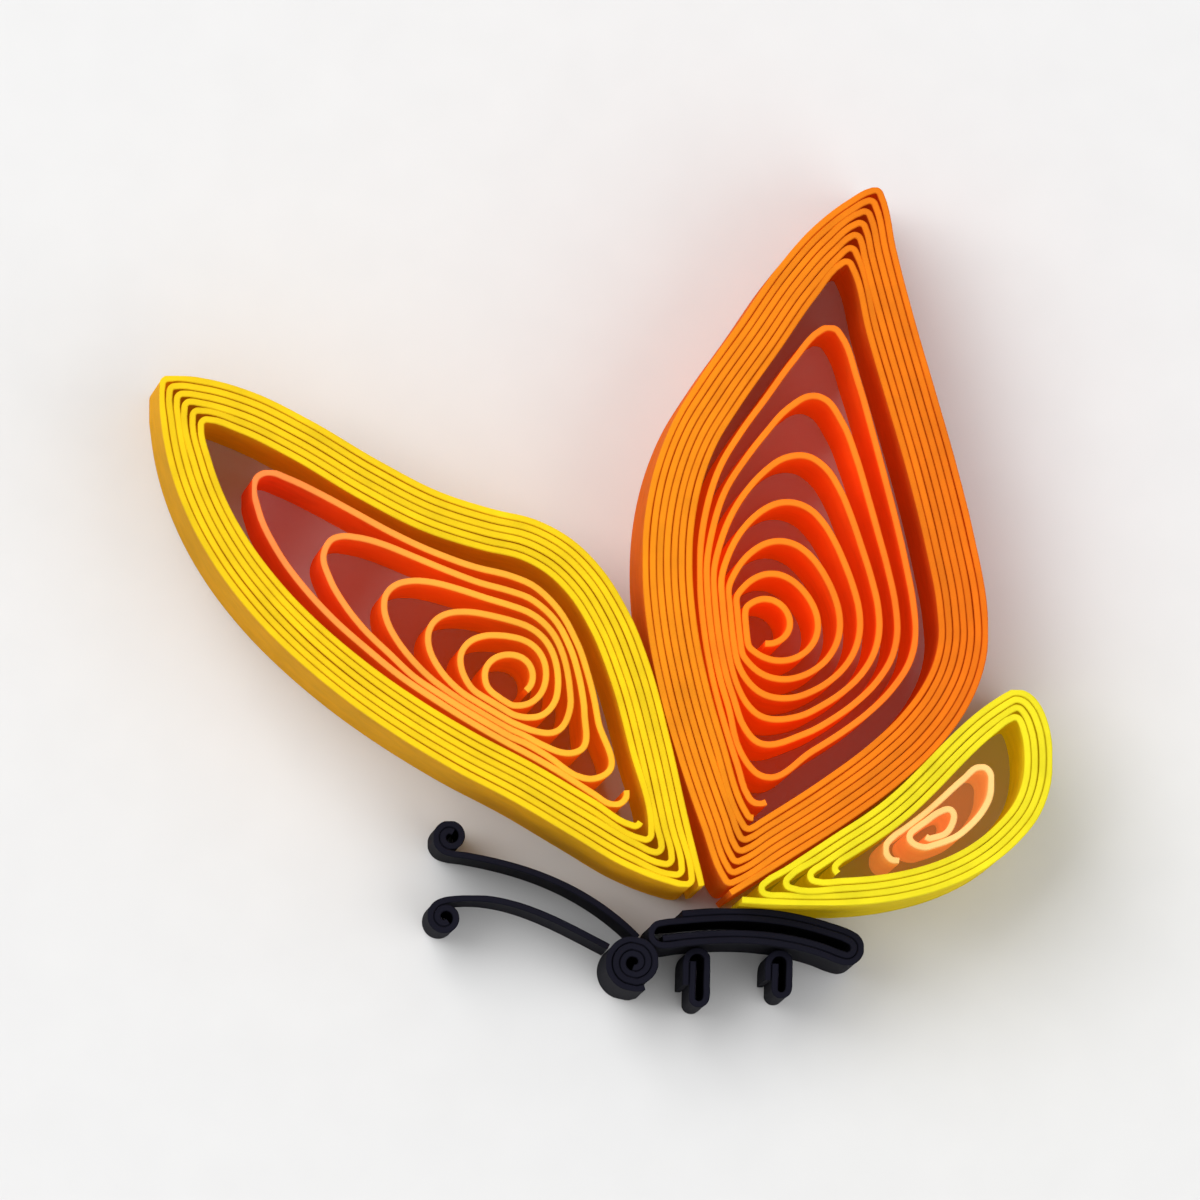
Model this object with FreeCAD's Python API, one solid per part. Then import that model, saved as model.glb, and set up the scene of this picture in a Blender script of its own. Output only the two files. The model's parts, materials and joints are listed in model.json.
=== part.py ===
import FreeCAD, Part
import cmath
import math
import os

os.makedirs("parts", exist_ok=True)

# A quilled paper butterfly lying flat. Every piece is a paper strip wound or bent on its edge.
# Millimetres and degrees. The plane is worked in complex numbers: real is X, imaginary is Y.
# Headings are counted anticlockwise from +X. +Z is the width of the strips, out of the front.

# Paper
paper_thickness = 0.1
wound_pitch = 0.125
rim_pitch = 0.13
glue_line = 0.03
fold_radius = 0.11

# Strip widths
wing_strip_width = 3.0
body_strip_width = 2.2
leg_strip_width = 1.8
antenna_strip_width = 1.5

# Far wing, the narrow one that leans to the left
far_length = 13.6
far_heading = 136.6
far_right_shoulder_along = 7.39
far_right_shoulder_out = 2.54
far_right_root_angle = -30.0
far_right_shoulder_angle = 34.0
far_right_tip_angle = 47.0
far_left_shoulder_along = 3.85
far_left_shoulder_out = 1.3
far_left_root_angle = 40.0
far_left_shoulder_angle = 17.0
far_left_tip_angle = -50.0
far_rim_turns = 6
far_coil_turns = 6
far_eye_along = 5.2
far_eye_left = -0.45
far_eye_radius = 0.3

# Near wing, the broad one that stands upright
near_length = 13.3
near_heading = 77.4
near_right_shoulder_along = 6.24
near_right_shoulder_out = 3.49
near_right_root_angle = -44.0
near_right_shoulder_angle = 21.0
near_right_tip_angle = 23.0
near_left_shoulder_along = 9.18
near_left_shoulder_out = 2.5
near_left_root_angle = 34.0
near_left_shoulder_angle = -25.0
near_left_tip_angle = -58.0
near_rim_turns = 7
near_coil_turns = 7
near_eye_along = 4.97
near_eye_left = 0.33
near_eye_radius = 0.3

# Hind wing, the small crescent below the near wing
hind_length = 6.65
hind_heading = 35.4
hind_right_shoulder_along = 5.75
hind_right_shoulder_out = 2.2
hind_right_root_angle = -41.0
hind_right_shoulder_angle = 22.0
hind_right_tip_angle = 154.0
hind_left_shoulder_along = 3.04
hind_left_shoulder_out = -0.27
hind_left_root_angle = -13.0
hind_left_shoulder_angle = -4.0
hind_left_tip_angle = -8.0
hind_rim_turns = 4
hind_coil_turns = 2
hind_eye_along = 4.0
hind_eye_left = -1.1
hind_eye_radius = 0.16

# Loose coils
coil_softening = 34.0
coil_end_spread = 1.1
coil_side_spread = 0.8

# Facets of the bent paper
side_parts = 14
fold_parts = 4
fine_side_parts = 60
fine_fold_parts = 12
longest_facet = 0.9
sharpest_facet = 16.0
shortest_facet = 0.05

# Body, a tight roll pressed into a long bent bar
roll_hole = 0.09
body_size = 0.72
body_reach = 3.3
body_drop = 0.25
body_front_angle = 8.0
body_rear_angle = -22.0
body_left_of_root = 0.75

# Head, a tight round roll
head_size = 1.07
head_push = 45.0

# Legs, small tight rolls pressed long
leg_size = 0.56
front_leg_length = 1.2
front_leg_from_root = -0.08
rear_leg_length = 1.0
rear_leg_from_root = 1.4

# Antennae, each a strip that leaves the head to the left
curl_size = 0.68
curl_turns = 1.6
upper_antenna_reach = 3.4
upper_antenna_rise = 1.5
upper_antenna_root_angle = 135.0
upper_antenna_end_angle = 172.0
upper_antenna_on_head = 75.0
lower_antenna_reach = 3.0
lower_antenna_rise = 0.8
lower_antenna_root_angle = 153.0
lower_antenna_end_angle = 193.0
lower_antenna_on_head = 140.0

# Steps down from the far wing's root to the other two roots
near_root_step = 0.06
hind_root_step = 0.03


def unit(degrees):
    """Unit step at a heading."""
    return cmath.exp(1j * math.radians(degrees))


def span(start, start_angle, end, end_angle, count):
    """Points and unit headings along one smooth bend between two places."""
    reach = 0.36 * abs(end - start)
    a, b, c, d = start, start + reach * unit(start_angle), end - reach * unit(end_angle), end
    places = []
    for step in range(count + 1):
        u = step / count
        v = 1 - u
        place = a * v**3 + 3 * b * u * v * v + 3 * c * u * u * v + d * u**3
        slope = (b - a) * v * v + 2 * (c - b) * u * v + (d - c) * u * u
        places.append((place, slope / abs(slope)))
    return places


class Wing:
    """The outline of a pinched wing: two sides that meet at the root and at the tip."""

    def __init__(self, root, length, heading, right, left):
        self.root = root
        self.axis = unit(heading)
        self.right = self.side(length, right)
        self.left = self.side(length, left)

    def side(self, length, bends):
        along, left, root_angle, shoulder_angle, tip_angle = bends
        shoulder = complex(along, left)
        first = span(0, root_angle, shoulder, shoulder_angle, 30)
        second = span(shoulder, shoulder_angle, complex(length, 0), tip_angle, 30)
        return [(self.root + p * self.axis, h * self.axis) for p, h in first + second[1:]]

    def move(self, shift):
        self.root += shift
        self.right = [(p + shift, h) for p, h in self.right]
        self.left = [(p + shift, h) for p, h in self.left]

    def outline(self):
        """The outer face of the rim, folded round at the root and the tip."""
        depths = [0, rim_pitch / 2, rim_pitch]
        return self.winding(depths, fold_radius + paper_thickness / 2, fine_side_parts, fine_fold_parts)

    def inset(self, depth):
        """Both sides moved into the wing by a depth."""
        right = [p + 1j * h * depth for p, h in self.right]
        left = [p - 1j * h * depth for p, h in self.left]
        return right, left

    def fold(self, depth, radius, at_tip):
        """Centre of the round fold at one end, and where it leaves the right and the left side."""
        right, left = self.inset(depth + radius)
        if at_tip:
            right.reverse()
            left.reverse()
        i, j, centre = first_crossing(right, left)
        last = len(right) - 1
        if at_tip:
            return centre, last - i, last - j
        return centre, i, j

    def winding(self, depths, radius, side_parts, fold_parts):
        """Centre line of a strip wound inside the outline, one depth for each half turn, from the root."""
        path = []
        for turn, depth in enumerate(depths[:-1]):
            side, other = (self.right, self.left) if turn % 2 == 0 else (self.left, self.right)
            inward = 1j if turn % 2 == 0 else -1j
            start = self.fold(depth, radius, turn % 2 == 1)
            end = self.fold(depths[turn + 1], radius, turn % 2 == 0)
            pick = 1 if turn % 2 == 0 else 2
            low, high = start[pick], end[pick]
            first, last = min(low, high), max(low, high)
            inner = [index for index in stops(side, side_parts) if first + 0.7 < index < last - 0.7]
            if high < low:
                inner.reverse()
            for index in [low] + inner + [high]:
                place, slope = between(side, index)
                local = depth + (depths[turn + 1] - depth) * (index - low) / (high - low)
                path.append(place + inward * slope * local)
            turn_in = -inward * between(side, high)[1]
            turn_out = inward * between(other, end[3 - pick])[1]
            sweep = cmath.phase(turn_out / turn_in) % (2 * math.pi)
            for step in range(1, fold_parts):
                path.append(end[0] + radius * turn_in * cmath.exp(1j * sweep * step / fold_parts))
        return path


def stops(side, count):
    """Indexes along a side at which its facets meet, closer where it bends more."""
    due = [0.0]
    for (a, slope), (b, next_slope) in zip(side, side[1:]):
        bend = abs(math.degrees(cmath.phase(next_slope / slope)))
        due.append(due[-1] + abs(b - a) / longest_facet + bend / sharpest_facet)
    indexes = []
    k = 0
    for step in range(count + 1):
        goal = due[-1] * step / count
        while k < len(due) - 2 and due[k + 1] < goal:
            k += 1
        indexes.append(k + (goal - due[k]) / (due[k + 1] - due[k]))
    return indexes


def between(side, index):
    """Place and heading at a fractional index along a side."""
    low = min(int(index), len(side) - 2)
    part = index - low
    place = side[low][0] * (1 - part) + side[low + 1][0] * part
    slope = side[low][1] * (1 - part) + side[low + 1][1] * part
    return place, slope / abs(slope)


def cross(a, b):
    return (a.conjugate() * b).imag


def first_crossing(one, two):
    """The first place where two lines of points cross, as an index on each and the place."""
    best = None
    for i in range(len(one) - 1):
        if best and i > best[0]:
            break
        for j in range(len(two) - 1):
            a, b = one[i + 1] - one[i], two[j + 1] - two[j]
            area = cross(a, b)
            if area == 0:
                continue
            u = cross(two[j] - one[i], b) / area
            v = cross(two[j] - one[i], a) / area
            if 0 <= u <= 1 and 0 <= v <= 1:
                if best is None or i + u < best[0]:
                    best = (i + u, j + v, one[i] + a * u)
    return best


def rim_path(wing, turns):
    """A strip wound tight just inside the outline."""
    depths = [paper_thickness / 2 + rim_pitch / 2 * half for half in range(2 * turns + 1)]
    return wing.winding(depths, fold_radius, side_parts, fold_parts)


def closed_loop(wing, depth, radius):
    """One closed turn at a constant depth, finely drawn."""
    return wing.winding([depth, depth, depth], radius, fine_side_parts, fine_fold_parts)


def coil_path(wing, rim_turns, turns, eye_along, eye_left, eye_radius):
    """A loose coil in a rim: turns that grow from a round eye, close at the sides and open at the ends."""
    depth = rim_turns * rim_pitch + paper_thickness * 1.5 + glue_line
    outer = closed_loop(wing, depth, 2 * fold_radius)
    room = eye_radius + turns * wound_pitch
    across = [((p - wing.root) / wing.axis).imag for p in crossings_at(outer, wing, eye_along)]
    low, high = min(across) + room, max(across) - room
    left = min(max(eye_left, low), high) if low < high else (low + high) / 2
    eye = wing.root + complex(eye_along, left) * wing.axis
    outer = thinned(outer, eye)
    rays = [(p - eye) / abs(p - eye) for p in outer]
    count = len(rays)
    more = coil_end_spread - coil_side_spread
    spread = [coil_side_spread + more * (ray / wing.axis).real**2 for ray in rays]
    turned = [0.0]
    for k in range(count):
        turned.append(turned[-1] + cmath.phase(rays[(k + 1) % count] / rays[k]))
    loops = [[abs(p - eye) for p in outer]]
    for turn in reversed(range(turns)):
        share = turn / turns
        soft = softened(loops[-1], turned, coil_softening * (1 - share))
        inside = parallel_inside(loops[0], rays, wound_pitch)
        loop = []
        for k in range(count):
            floor = eye_radius + turn * wound_pitch
            wish = max(floor, eye_radius + (soft[k] - eye_radius) * share ** spread[k])
            loop.append(min(wish, inside[k]))
        loops.insert(0, loop)
    path = []
    for low, high in zip(loops, loops[1:]):
        for k in range(count):
            u = turned[k] / turned[-1]
            path.append(eye + rays[k] * (low[k] * (1 - u) + high[k] * u))
    path.append(eye + rays[0] * loops[-1][0])
    return [p for k, p in enumerate(path) if k == 0 or abs(p - path[k - 1]) > shortest_facet]


def thinned(loop, eye):
    """The places of a fine loop that are worth a facet, by their length and by how far they turn."""
    chosen = [loop[0]]
    due = 0.0
    for k in range(1, len(loop) - 1):
        step = abs(loop[k] - loop[k - 1]) / longest_facet
        seen = abs(cmath.phase((loop[k] - eye) / (loop[k - 1] - eye)))
        bend = abs(cmath.phase((loop[k + 1] - loop[k]) / (loop[k] - loop[k - 1])))
        due += max(step, seen / math.radians(sharpest_facet), bend / math.radians(sharpest_facet))
        if due >= 1:
            chosen.append(loop[k])
            due -= 1
    return chosen


def softened(reaches, turned, width):
    """A loop given by its reach at each turned angle, averaged over a width of angle."""
    width = max(math.radians(width), 0.01)
    full = turned[-1]
    soft = []
    for k in range(len(reaches)):
        total = weight = 0.0
        for m in range(len(reaches)):
            apart = abs(turned[m] - turned[k])
            apart = min(apart, full - apart)
            if apart < 3 * width:
                wide = (turned[m + 1] - turned[m - 1]) if m else (turned[1] + full - turned[-2])
                local = wide * math.exp(-0.5 * (apart / width)**2)
                total += local * math.log(reaches[m])
                weight += local
        soft.append(math.exp(total / weight))
    return soft


def parallel_inside(reaches, rays, gap):
    """The reach at each ray of the line that stays a gap inside a loop."""
    loop = [r * ray for r, ray in zip(reaches, rays)]
    fine = []
    for a, b in zip(loop, loop[1:] + loop[:1]):
        parts = 1 + int(abs(b - a) / (gap / 3))
        fine += [a + (b - a) * part / parts for part in range(parts)]
    inside = []
    for k, ray in enumerate(rays):
        best = reaches[k] - gap
        for place in fine:
            local = place / ray
            if abs(local.imag) < gap and local.real > 0:
                best = min(best, local.real - math.sqrt(gap * gap - local.imag**2))
        inside.append(best)
    return inside


def crossings_at(loop, wing, along):
    """Where a loop crosses the line straight across the wing."""
    places = []
    for a, b in zip(loop, loop[1:]):
        u = ((a - wing.root) / wing.axis).real - along
        v = ((b - wing.root) / wing.axis).real - along
        if u * v < 0:
            places.append(a + (b - a) * u / (u - v))
    return places


def pressed_roll(spine, size):
    """A tight roll pressed onto a spine, so that it is as wide as the size. The spine is points in order."""
    turns = (size / 2 - paper_thickness / 2 - roll_hole) / wound_pitch
    slopes = [b - a for a, b in zip(spine, spine[1:])]
    slopes = [s / abs(s) for s in slopes + slopes[-1:]]
    lap = [(p, -1j * s) for p, s in zip(spine, slopes)]
    lap += [(spine[-1], -1j * slopes[-1] * unit(22.5 * step)) for step in range(1, 8)]
    lap += [(p, 1j * s) for p, s in reversed(list(zip(spine, slopes)))]
    lap += [(spine[0], 1j * slopes[0] * unit(22.5 * step)) for step in range(1, 8)]
    path = []
    for step in range(int(turns * len(lap)) + 1):
        place, out = lap[step % len(lap)]
        path.append(place + out * (roll_hole + wound_pitch * step / len(lap)))
    return path


def curled_strip(start, start_heading, end, end_heading, curl_size, curl_turns, hand):
    """A strip on its edge that runs from one place to another and ends in a tight curl."""
    path = [p for p, h in span(start, start_heading, end, end_heading, 12)]
    radius = curl_size / 2 - paper_thickness / 2
    centre = end + 1j * hand * unit(end_heading) * radius
    for step in range(1, int(curl_turns * 16) + 1):
        local = radius - wound_pitch * step / 16
        path.append(centre - 1j * hand * unit(end_heading + hand * 22.5 * step) * local)
    return path


def free_run(mover, fixed, heading):
    """How far an outline can travel along a heading before it meets any of the fixed outlines."""
    turn = unit(heading)
    mover = [p / turn for p in mover]
    best = math.inf
    for other in fixed:
        other = [p / turn for p in other]
        for points, lines, sign in ((mover, other, 1), (other, mover, -1)):
            for a, b in zip(lines, lines[1:] + lines[:1]):
                low, high = min(a.imag, b.imag), max(a.imag, b.imag)
                for p in points:
                    if low <= p.imag <= high and high > low:
                        reach = a.real + (b.real - a.real) * (p.imag - a.imag) / (b.imag - a.imag)
                        best = min(best, sign * (reach - p.real))
    return best


def rest_shift(mover, fixed, heading):
    """The shift that brings an outline up against fixed outlines, with a line of glue between them."""
    back = -20 * unit(heading)
    run = free_run([p + back for p in mover], fixed, heading)
    return back + (run - glue_line) * unit(heading)


def edges_of(path):
    """Both faces of a strip as lines of points."""
    last = len(path) - 1
    steps = [(b - a) / abs(b - a) for a, b in zip(path, path[1:])]
    one, two = [], []
    for k, place in enumerate(path):
        before, after = steps[max(k - 1, 0)], steps[min(k, last - 1)]
        across = 1j * (before + after) / (1 + (before.conjugate() * after).real) * paper_thickness / 2
        one.append(place + across)
        two.append(place - across)
    return one, two


def outline_of(path):
    """Both faces of a strip as one closed outline."""
    one, two = edges_of(path)
    return one + two[::-1]


def strip(path, width):
    """A paper strip stood on its edge along a path."""
    outline = outline_of(path)
    corners = [FreeCAD.Vector(p.real, p.imag, 0) for p in outline + outline[:1]]
    return Part.Face(Part.makePolygon(corners)).extrude(FreeCAD.Vector(0, 0, width))


# Wings
far = Wing(
    0,
    far_length,
    far_heading,
    (
        far_right_shoulder_along,
        -far_right_shoulder_out,
        far_right_root_angle,
        far_right_shoulder_angle,
        far_right_tip_angle,
    ),
    (
        far_left_shoulder_along,
        far_left_shoulder_out,
        far_left_root_angle,
        far_left_shoulder_angle,
        far_left_tip_angle,
    ),
)
near = Wing(
    -1j * near_root_step,
    near_length,
    near_heading,
    (
        near_right_shoulder_along,
        -near_right_shoulder_out,
        near_right_root_angle,
        near_right_shoulder_angle,
        near_right_tip_angle,
    ),
    (
        near_left_shoulder_along,
        near_left_shoulder_out,
        near_left_root_angle,
        near_left_shoulder_angle,
        near_left_tip_angle,
    ),
)
hind = Wing(
    -1j * hind_root_step,
    hind_length,
    hind_heading,
    (
        hind_right_shoulder_along,
        -hind_right_shoulder_out,
        hind_right_root_angle,
        hind_right_shoulder_angle,
        hind_right_tip_angle,
    ),
    (
        hind_left_shoulder_along,
        hind_left_shoulder_out,
        hind_left_root_angle,
        hind_left_shoulder_angle,
        hind_left_tip_angle,
    ),
)
near.move(rest_shift(near.outline(), [far.outline()], 180))
hind.move(rest_shift(hind.outline(), [far.outline(), near.outline()], 180))
wings = [wing.outline() for wing in (far, near, hind)]

paths = {
    "far_wing_rim": rim_path(far, far_rim_turns),
    "far_wing_coil": coil_path(
        far, far_rim_turns, far_coil_turns, far_eye_along, far_eye_left, far_eye_radius
    ),
    "near_wing_rim": rim_path(near, near_rim_turns),
    "near_wing_coil": coil_path(
        near, near_rim_turns, near_coil_turns, near_eye_along, near_eye_left, near_eye_radius
    ),
    "hind_wing_rim": rim_path(hind, hind_rim_turns),
    "hind_wing_coil": coil_path(
        hind, hind_rim_turns, hind_coil_turns, hind_eye_along, hind_eye_left, hind_eye_radius
    ),
}
widths = {name: wing_strip_width for name in paths}

# Body, pushed up against the wing roots
body_front = complex(-body_left_of_root, -2)
body_rear = body_front + complex(body_reach, -body_drop)
body_spine = [p for p, h in span(body_front, body_front_angle, body_rear, body_rear_angle, 9)]
body_path = pressed_roll(body_spine, body_size)
body_shift = rest_shift(outline_of(body_path), wings, 90)
paths["body"] = [p + body_shift for p in body_path]
body = outline_of(paths["body"])

# Head, pushed against the front of the body
head_spine = [body_spine[0] + body_shift, body_spine[0] + body_shift + 0.02]
head_path = pressed_roll(head_spine, head_size)
head_shift = rest_shift(outline_of(head_path), [body], head_push)
paths["head"] = [p + head_shift for p in head_path]
head = outline_of(paths["head"])
head_centre = head_spine[0] + head_shift

# Legs, pushed up under the body
for name, length, place in (
    ("front_leg", front_leg_length, front_leg_from_root),
    ("rear_leg", rear_leg_length, rear_leg_from_root),
):
    top = complex(place, -3)
    leg_spine = [top - 1j * (length - leg_size) * step / 3 for step in range(4)]
    leg_path = pressed_roll(leg_spine, leg_size)
    shift = rest_shift(outline_of(leg_path), [body], 90)
    paths[name] = [p + shift for p in leg_path]

# Antennae, pushed against the head
for name, reach, rise, root_angle, end_angle, on_head, hand in (
    (
        "upper_antenna",
        upper_antenna_reach,
        upper_antenna_rise,
        upper_antenna_root_angle,
        upper_antenna_end_angle,
        upper_antenna_on_head,
        -1,
    ),
    (
        "lower_antenna",
        lower_antenna_reach,
        lower_antenna_rise,
        lower_antenna_root_angle,
        lower_antenna_end_angle,
        lower_antenna_on_head,
        1,
    ),
):
    foot = head_centre + (head_size / 2 + glue_line) * unit(on_head)
    curl = foot + complex(-reach, rise)
    antenna_path = curled_strip(foot, root_angle, curl, end_angle, curl_size, curl_turns, hand)
    shift = rest_shift(outline_of(antenna_path), [head, body], on_head + 180)
    paths[name] = [p + shift for p in antenna_path]

widths["body"] = body_strip_width
widths["head"] = body_strip_width
widths["front_leg"] = leg_strip_width
widths["rear_leg"] = leg_strip_width
widths["upper_antenna"] = antenna_strip_width
widths["lower_antenna"] = antenna_strip_width

# The origin is under the middle of the whole butterfly
pieces = {name: strip(path, widths[name]) for name, path in paths.items()}
box = Part.makeCompound(list(pieces.values())).optimalBoundingBox()
for name, piece in pieces.items():
    piece.translate(FreeCAD.Vector(-box.Center.x, -box.Center.y, -box.ZMin))
    piece.exportStep("parts/" + name + ".step")
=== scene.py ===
"""The looks of a quilled paper butterfly: its CAD strips drawn again as real paper."""

import json
import math

import bmesh
import bpy
import numpy as np
from mathutils import Matrix, Vector


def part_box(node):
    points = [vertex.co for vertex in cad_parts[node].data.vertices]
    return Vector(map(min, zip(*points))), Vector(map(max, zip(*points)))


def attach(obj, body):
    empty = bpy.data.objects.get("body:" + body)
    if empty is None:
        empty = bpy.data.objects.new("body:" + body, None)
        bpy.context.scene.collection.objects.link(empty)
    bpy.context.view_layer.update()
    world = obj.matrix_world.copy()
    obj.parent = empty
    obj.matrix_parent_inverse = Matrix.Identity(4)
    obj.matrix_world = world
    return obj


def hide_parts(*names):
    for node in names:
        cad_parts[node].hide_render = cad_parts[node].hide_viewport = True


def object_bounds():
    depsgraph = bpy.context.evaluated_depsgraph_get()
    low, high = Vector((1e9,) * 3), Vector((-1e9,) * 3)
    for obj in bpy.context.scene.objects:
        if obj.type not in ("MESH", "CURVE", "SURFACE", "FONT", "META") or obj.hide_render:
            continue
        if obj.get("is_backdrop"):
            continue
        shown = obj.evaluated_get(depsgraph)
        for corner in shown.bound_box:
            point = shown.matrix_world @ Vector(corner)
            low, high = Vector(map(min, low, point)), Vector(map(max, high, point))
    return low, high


MM = 0.001

# Points of a solid this close together are one, and faces this close to its lowest point are its underside
WELD = 1e-7
LEVEL = 1e-6

# Cut edges of the strips: how far they are rounded, how far they flare out and how deep the flare reaches
EDGE_SOFTNESS = 0.018 * MM
EDGE_FLARE = 0.008 * MM
EDGE_HEIGHT = 0.12 * MM
# Share of the cut edge's look where its rounding starts, from 0 on the face to 1 on the cut
ROUNDING_CUT = 0.7

# The most that a smooth line bends and runs on between two points, and the bend that stays sharp
FINE_BEND = math.radians(5.0)
FINE_LENGTH = 0.16 * MM
SHARP_BEND = math.radians(35)

# How unevenly the upper edges stand, in a tight and in a loose strip, and how far the turns wander
TIGHT_DIP = 0.07 * MM
LOOSE_DIP = 0.16 * MM
WANDER = 0.004 * MM
# The longest waves of both, what shorter waves add to them, and where their random numbers start
DIP_WAVE = 9 * MM
WANDER_WAVE = 7 * MM
WAVE_SHARES = (1.0, 0.63, 0.41, 0.27)
FIRST_SEED = 3
SEED_STEP = 7
DIP_SEED = 50

# Nearly from above, a little from the lower left
VIEW_DIRECTION = Vector((-39.7, -44.5, 500.0)).normalized()
VIEW_DISTANCE = 0.5
VIEW_WIDTH = 21.5 * MM
CLIP_START = 0.01
CLIP_END = 10

ROOM_LIGHT = 0.6
# Soft square lights: the direction from the butterfly, the distance, the size and the power
LIGHTS = {
    "window": ((-0.6, 0.5, 1.0), 0.5, 0.4, 2.2),
    "fill": ((0.7, -0.4, 0.9), 0.6, 0.5, 1.0),
}

FLOOR_WIDTH = 2.0
FLOOR_GAP = 0.01 * MM
FLOOR_COLOURS = ((0.65, 0.65, 0.65), (0.68, 0.68, 0.68))
FLOOR_PATTERN = (900, 2)
FLOOR_ROUGHNESS = 0.9

# Paper: scale and detail of its patterns, and the levels of brightness that they give
CLOUDS = (2400, 3)
CLOUD_LEVELS = (0.86, 1.12)
DRIFT = (0.35, 2)
DRIFT_SPAN = (0.3, 0.7)
DRIFT_LEVELS = (0.92, 1.05)
FIBRES = (26000, 4)
FIBRE_STRENGTH = 0.4
FIBRE_HEIGHT = 0.01 * MM
PAPER_ROUGHNESS = 0.85
# How many times less light comes through where the cut edge is
CUT_DENSITY = 5

# Colours of the face and of the cut edge, each at the left end of the piece and at the right end, where the
# change from left to right is painted light and shade, as light falls from the left; the gloss; the share of
# light that comes through the face;
# and the painted glow that the face gives off, which stands in for light that wanders on between the turns
# after the few bounces that a render follows
PAPERS = {
    "yellow_paper": {
        "face": ((0.84, 0.46, 0.003), (0.84, 0.48, 0.003)),
        "cut": ((0.82, 0.55, 0.004), (0.83, 0.58, 0.004)),
        "gloss": 0.2,
        "through": 0.4,
        "painted_glow": 0.10,
    },
    "coral_paper": {
        "face": ((0.95, 0.10, 0.01), (0.93, 0.34, 0.006)),
        "cut": ((0.96, 0.25, 0.06), (0.94, 0.47, 0.02)),
        "gloss": 0.2,
        "through": 0.4,
        "painted_glow": 0.15,
    },
    "orange_paper": {
        "face": ((0.84, 0.19, 0.002), (0.76, 0.10, 0.001)),
        "cut": ((0.82, 0.26, 0.003), (0.76, 0.155, 0.002)),
        "gloss": 0.2,
        "through": 0.4,
        "painted_glow": 0.12,
    },
    "red_orange_paper": {
        "face": ((0.95, 0.18, 0.002), (0.93, 0.13, 0.003)),
        "cut": ((0.96, 0.24, 0.006), (0.94, 0.19, 0.012)),
        "gloss": 0.2,
        "through": 0.4,
        "painted_glow": 0.17,
    },
    "lemon_paper": {
        "face": ((0.82, 0.66, 0.004), (0.82, 0.68, 0.006)),
        "cut": ((0.77, 0.66, 0.008), (0.79, 0.69, 0.014)),
        "gloss": 0.2,
        "through": 0.4,
        "painted_glow": 0.14,
    },
    "peach_paper": {
        "face": ((0.96, 0.52, 0.15), (0.96, 0.58, 0.20)),
        "cut": ((0.96, 0.54, 0.17), (0.96, 0.60, 0.22)),
        "gloss": 0.2,
        "through": 0.4,
        "painted_glow": 0.25,
    },
    "black_paper": {
        "face": ((0.003, 0.003, 0.007), (0.003, 0.003, 0.007)),
        "cut": ((0.006, 0.006, 0.012), (0.006, 0.006, 0.012)),
        "gloss": 0.08,
        "through": 0.02,
        "painted_glow": 0.0,
    },
}


def outline_of(node):
    """The underside of a strip as one ordered loop of points in the plane, in metres."""
    work = bmesh.new()
    work.from_mesh(node.data)
    work.transform(node.matrix_world)
    bmesh.ops.remove_doubles(work, verts=work.verts, dist=WELD)
    low = min(v.co.z for v in work.verts)
    under = {f for f in work.faces if all(v.co.z < low + LEVEL for v in f.verts)}
    joined = {}
    for edge in work.edges:
        if sum(face in under for face in edge.link_faces) == 1:
            a, b = edge.verts
            joined.setdefault(a, []).append(b)
            joined.setdefault(b, []).append(a)
    first = next(iter(joined))
    loop = [first, joined[first][0]]
    while True:
        ahead = [v for v in joined[loop[-1]] if v is not loop[-2]][0]
        if ahead is first:
            break
        loop.append(ahead)
    points = np.array([complex(v.co.x, v.co.y) for v in loop])
    work.free()
    return points


def middle_line(outline):
    """The centre line and the thickness of a strip, from its loop split where the two sides pair up best."""
    half = len(outline) // 2
    best = None
    for start in range(len(outline)):
        turned = np.roll(outline, -start)
        one, two = turned[:half], turned[half:][::-1]
        apart = np.abs(one - two)
        if best is None or apart.max() < best[0]:
            best = (apart.max(), (one + two) / 2, apart.min())
    return best[1], best[2]


def smoothed(points):
    """A smooth line through the points, close set where it bends."""
    steps = np.diff(points)
    weights = steps / np.abs(steps) ** 2
    slopes = np.concatenate([weights[:1], weights[:-1] + weights[1:], weights[-1:]])
    slopes /= np.abs(slopes)
    line = [points[:1]]
    for k, step in enumerate(steps):
        bend = abs(np.angle(slopes[k + 1] / slopes[k]))
        parts = int(math.ceil(max(bend / FINE_BEND, abs(step) / FINE_LENGTH, 1)))
        u = np.arange(1, parts + 1) / parts
        # The length of the arc over this step, near enough
        pull = abs(step) * (1 + bend**2 / 24)
        line.append(
            (2 * u**3 - 3 * u**2 + 1) * points[k]
            + (u**3 - 2 * u**2 + u) * pull * slopes[k]
            + (3 * u**2 - 2 * u**3) * points[k + 1]
            + (u**3 - u**2) * pull * slopes[k + 1]
        )
    return np.concatenate(line)


def waver(along, length, seed):
    """A slow irregular wave between 0 and 1 along a strip."""
    numbers = np.random.default_rng(seed)
    total = np.zeros(len(along))
    weight = 0.0
    for share in WAVE_SHARES:
        total += share * np.sin(2 * math.pi * (along / (length * share) + numbers.random()))
        weight += share
    return 0.5 + 0.5 * total / weight


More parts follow.
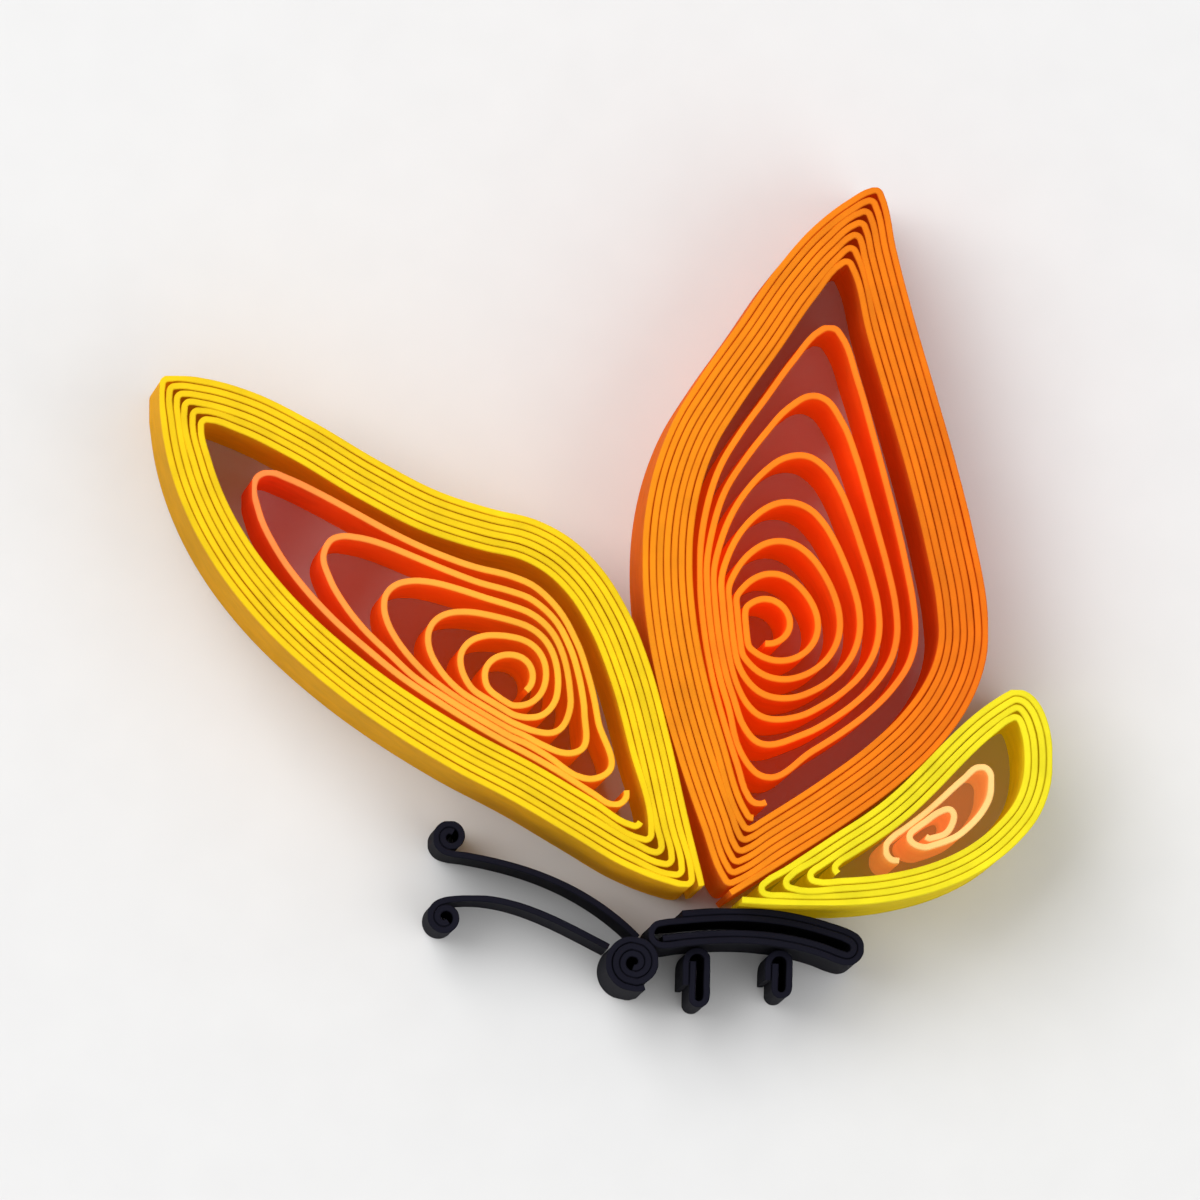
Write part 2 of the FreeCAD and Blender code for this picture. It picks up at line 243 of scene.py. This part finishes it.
def paper_strip(node, slot, seed, dip):
    """A CAD strip again, with smooth bends, soft cut edges and turns that stand unevenly."""
    line, thickness = middle_line(outline_of(node))
    line = smoothed(line)
    low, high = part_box(node.name)
    along = np.concatenate([[0], np.cumsum(np.abs(np.diff(line)))])
    slopes = np.gradient(line)
    slopes /= np.abs(slopes)
    line = line + 1j * slopes * WANDER * (2 * waver(along, WANDER_WAVE, seed) - 1)
    top = high[2] - dip * waver(along, DIP_WAVE, seed + DIP_SEED)
    # Corners of the section: place across the strip, depth under its upper edge, and share of the cut's look
    half, wide = thickness / 2, thickness / 2 + EDGE_FLARE
    section = [
        (half, None, 0.0),
        (half, EDGE_HEIGHT, 0.0),
        (wide, EDGE_SOFTNESS, ROUNDING_CUT),
        (wide - EDGE_SOFTNESS, 0, 1.0),
    ]
    section += [(-across, depth, share) for across, depth, share in reversed(section)]
    corners = []
    for across, depth, _ in section:
        place = line + 1j * slopes * across
        rise = np.full(len(line), low[2]) if depth is None else top - depth
        corners.append(np.stack([place.real, place.imag, rise], axis=1))
    verts = np.stack(corners, axis=1).reshape(-1, 3)
    verts[:, 0] = np.clip(verts[:, 0], low[0], high[0])
    verts[:, 1] = np.clip(verts[:, 1], low[1], high[1])
    count, width = len(line), len(section)
    faces = []
    for k in range(count - 1):
        for c in range(width):
            d = (c + 1) % width
            faces.append((k * width + c, k * width + d, (k + 1) * width + d, (k + 1) * width + c))
    faces.append(tuple(range(width - 1, -1, -1)))
    faces.append(tuple((count - 1) * width + c for c in range(width)))
    mesh = bpy.data.meshes.new(node.name + "_paper")
    mesh.from_pydata(verts.tolist(), [], faces)
    # The share from the piece's left end to its right end sets the painted side shade of its paper, the
    # colour change that light falling from the left gives
    given = {
        "along": np.repeat(along / MM, width),
        "cut": np.tile([share for _, _, share in section], count),
        "painted_side_shade": (verts[:, 0] - low[0]) / (high[0] - low[0]),
    }
    for name, values in given.items():
        mesh.attributes.new(name, "FLOAT", "POINT").data.foreach_set("value", values)
    mesh.polygons.foreach_set("use_smooth", [True] * len(faces))
    mesh.set_sharp_from_angle(angle=SHARP_BEND)
    mesh.materials.append(paper(slot))
    piece = bpy.data.objects.new(node.name + "_paper", mesh)
    bpy.context.scene.collection.objects.link(piece)
    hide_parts(node.name)
    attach(piece, "root")


def mixed(nodes, links, factor, one, two):
    """A colour between two colours or colour outputs."""
    mix = nodes.new("ShaderNodeMix")
    mix.data_type = "RGBA"
    links.new(factor, mix.inputs["Factor"])
    for name, colour in (("A", one), ("B", two)):
        if isinstance(colour, tuple):
            mix.inputs[name].default_value = (*colour, 1)
        else:
            links.new(colour, mix.inputs[name])
    return mix.outputs["Result"]


def ranged(nodes, links, value, span, levels):
    """A value brought from one span to the levels of another."""
    level = nodes.new("ShaderNodeMapRange")
    links.new(value, level.inputs["Value"])
    for name, number in zip(("From Min", "From Max", "To Min", "To Max"), (*span, *levels)):
        level.inputs[name].default_value = number
    return level.outputs["Result"]


def noise(nodes, links, source, socket, pattern, dimensions="3D"):
    """A noise of the pattern's scale and detail on a coordinate."""
    scale, detail = pattern
    texture = nodes.new("ShaderNodeTexNoise")
    texture.noise_dimensions = dimensions
    texture.inputs["Scale"].default_value = scale
    texture.inputs["Detail"].default_value = detail
    links.new(source, texture.inputs[socket])
    return texture.outputs["Fac"]


def paper(slot):
    """Matt coloured paper with fibres, uneven dye, a paler cut edge, painted shade that changes from its
    left to its right end, a painted glow and some light coming through.
    """
    if slot in made_papers:
        return made_papers[slot]
    recipe = PAPERS[slot]
    material = bpy.data.materials.new(slot)
    made_papers[slot] = material
    material.use_nodes = True
    nodes, links = material.node_tree.nodes, material.node_tree.links
    nodes.clear()
    given = {}
    for name in ("along", "cut", "painted_side_shade"):
        attribute = nodes.new("ShaderNodeAttribute")
        attribute.attribute_name = name
        given[name] = attribute.outputs["Fac"]
    place = nodes.new("ShaderNodeTexCoord").outputs["Object"]
    # Face and cut colours go from their left-end to their right-end values across the piece: painted light
    # and shade, as light falls from the left
    face = mixed(nodes, links, given["painted_side_shade"], *recipe["face"])
    cut = mixed(nodes, links, given["painted_side_shade"], *recipe["cut"])
    tone = mixed(nodes, links, given["cut"], face, cut)
    clouds = noise(nodes, links, place, "Vector", CLOUDS)
    drift = noise(nodes, links, given["along"], "W", DRIFT, "1D")
    level = nodes.new("ShaderNodeMath")
    level.operation = "MULTIPLY"
    links.new(ranged(nodes, links, clouds, (0, 1), CLOUD_LEVELS), level.inputs[0])
    links.new(ranged(nodes, links, drift, DRIFT_SPAN, DRIFT_LEVELS), level.inputs[1])
    dyed = nodes.new("ShaderNodeHueSaturation")
    links.new(tone, dyed.inputs["Color"])
    links.new(level.outputs["Value"], dyed.inputs["Value"])
    bump = nodes.new("ShaderNodeBump")
    bump.inputs["Strength"].default_value = FIBRE_STRENGTH
    bump.inputs["Distance"].default_value = FIBRE_HEIGHT
    links.new(noise(nodes, links, place, "Vector", FIBRES), bump.inputs["Height"])
    face_to_cut = (0, ROUNDING_CUT)
    # Painted glow on the faces, fading out towards the cut edge, which stands in for light bouncing on
    # between the turns
    painted_glow = ranged(nodes, links, given["cut"], face_to_cut, (recipe["painted_glow"], 0))
    shade = nodes.new("ShaderNodeBsdfPrincipled")
    shade.inputs["Roughness"].default_value = PAPER_ROUGHNESS
    shade.inputs["Specular IOR Level"].default_value = recipe["gloss"]
    links.new(dyed.outputs["Color"], shade.inputs["Base Color"])
    links.new(dyed.outputs["Color"], shade.inputs["Emission Color"])
    links.new(painted_glow, shade.inputs["Emission Strength"])
    links.new(bump.outputs["Normal"], shade.inputs["Normal"])
    through = nodes.new("ShaderNodeBsdfTranslucent")
    links.new(dyed.outputs["Color"], through.inputs["Color"])
    shares = (recipe["through"], recipe["through"] / CUT_DENSITY)
    blend = nodes.new("ShaderNodeMixShader")
    links.new(ranged(nodes, links, given["cut"], face_to_cut, shares), blend.inputs["Fac"])
    links.new(shade.outputs["BSDF"], blend.inputs[1])
    links.new(through.outputs["BSDF"], blend.inputs[2])
    out = nodes.new("ShaderNodeOutputMaterial")
    links.new(blend.outputs["Shader"], out.inputs["Surface"])
    return material


def floor():
    """A plain pale floor under the butterfly."""
    bpy.ops.mesh.primitive_plane_add(size=FLOOR_WIDTH, location=(0, 0, -FLOOR_GAP))
    plane = bpy.context.object
    plane.name = "floor"
    material = bpy.data.materials.new("pale_floor")
    material.use_nodes = True
    nodes, links = material.node_tree.nodes, material.node_tree.links
    place = nodes.new("ShaderNodeTexCoord").outputs["Object"]
    tone = mixed(nodes, links, noise(nodes, links, place, "Vector", FLOOR_PATTERN), *FLOOR_COLOURS)
    shade = nodes["Principled BSDF"]
    shade.inputs["Roughness"].default_value = FLOOR_ROUGHNESS
    links.new(tone, shade.inputs["Base Color"])
    plane.data.materials.append(material)
    plane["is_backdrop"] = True


def soft_light(name, direction, distance, size, power):
    """A soft square light that looks at the butterfly."""
    light = bpy.data.lights.new(name, "AREA")
    light.size = size
    light.energy = power
    holder = bpy.data.objects.new(name, light)
    direction = Vector(direction).normalized()
    holder.location = direction * distance
    holder.rotation_euler = direction.to_track_quat("Z", "Y").to_euler()
    bpy.context.scene.collection.objects.link(holder)


def room():
    """Even light from all round."""
    world = bpy.data.worlds.new("room")
    world.use_nodes = True
    background = world.node_tree.nodes["Background"]
    background.inputs["Color"].default_value = (1.0, 1.0, 1.0, 1)
    background.inputs["Strength"].default_value = ROOM_LIGHT
    bpy.context.scene.world = world


def camera(low, high):
    """A camera nearly straight above, with the picture's upper edge towards +Y."""
    data = bpy.data.cameras.new("camera")
    holder = bpy.data.objects.new("camera", data)
    holder.location = (Vector(low) + Vector(high)) / 2 + VIEW_DIRECTION * VIEW_DISTANCE
    side = Vector((0, 1, 0)).cross(VIEW_DIRECTION).normalized()
    up = VIEW_DIRECTION.cross(side)
    holder.rotation_euler = Matrix((side, up, VIEW_DIRECTION)).transposed().to_euler()
    data.angle = 2 * math.atan(VIEW_WIDTH / 2 / VIEW_DISTANCE)
    data.clip_start = CLIP_START
    data.clip_end = CLIP_END
    bpy.context.scene.collection.objects.link(holder)
    bpy.context.scene.camera = holder


made_papers = {}
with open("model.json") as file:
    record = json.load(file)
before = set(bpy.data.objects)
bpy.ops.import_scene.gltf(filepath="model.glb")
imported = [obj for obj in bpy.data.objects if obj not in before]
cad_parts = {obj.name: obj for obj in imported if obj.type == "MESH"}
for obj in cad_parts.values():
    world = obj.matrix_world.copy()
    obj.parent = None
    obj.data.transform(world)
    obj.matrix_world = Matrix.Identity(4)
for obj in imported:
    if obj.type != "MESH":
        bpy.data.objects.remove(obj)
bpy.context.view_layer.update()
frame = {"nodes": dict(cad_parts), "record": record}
slots = {part["node"]: part["material_slot"] for part in frame["record"]["subparts"]}

for number, (name, node) in enumerate(sorted(frame["nodes"].items())):
    dip = LOOSE_DIP if name.endswith("_coil") else TIGHT_DIP
    paper_strip(node, slots[name], FIRST_SEED + SEED_STEP * number, dip)

floor()
for name, (direction, distance, size, power) in LIGHTS.items():
    soft_light(name, direction, distance, size, power)
room()
bpy.context.scene.view_settings.view_transform = "Standard"

new_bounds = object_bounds()
camera(*new_bounds)
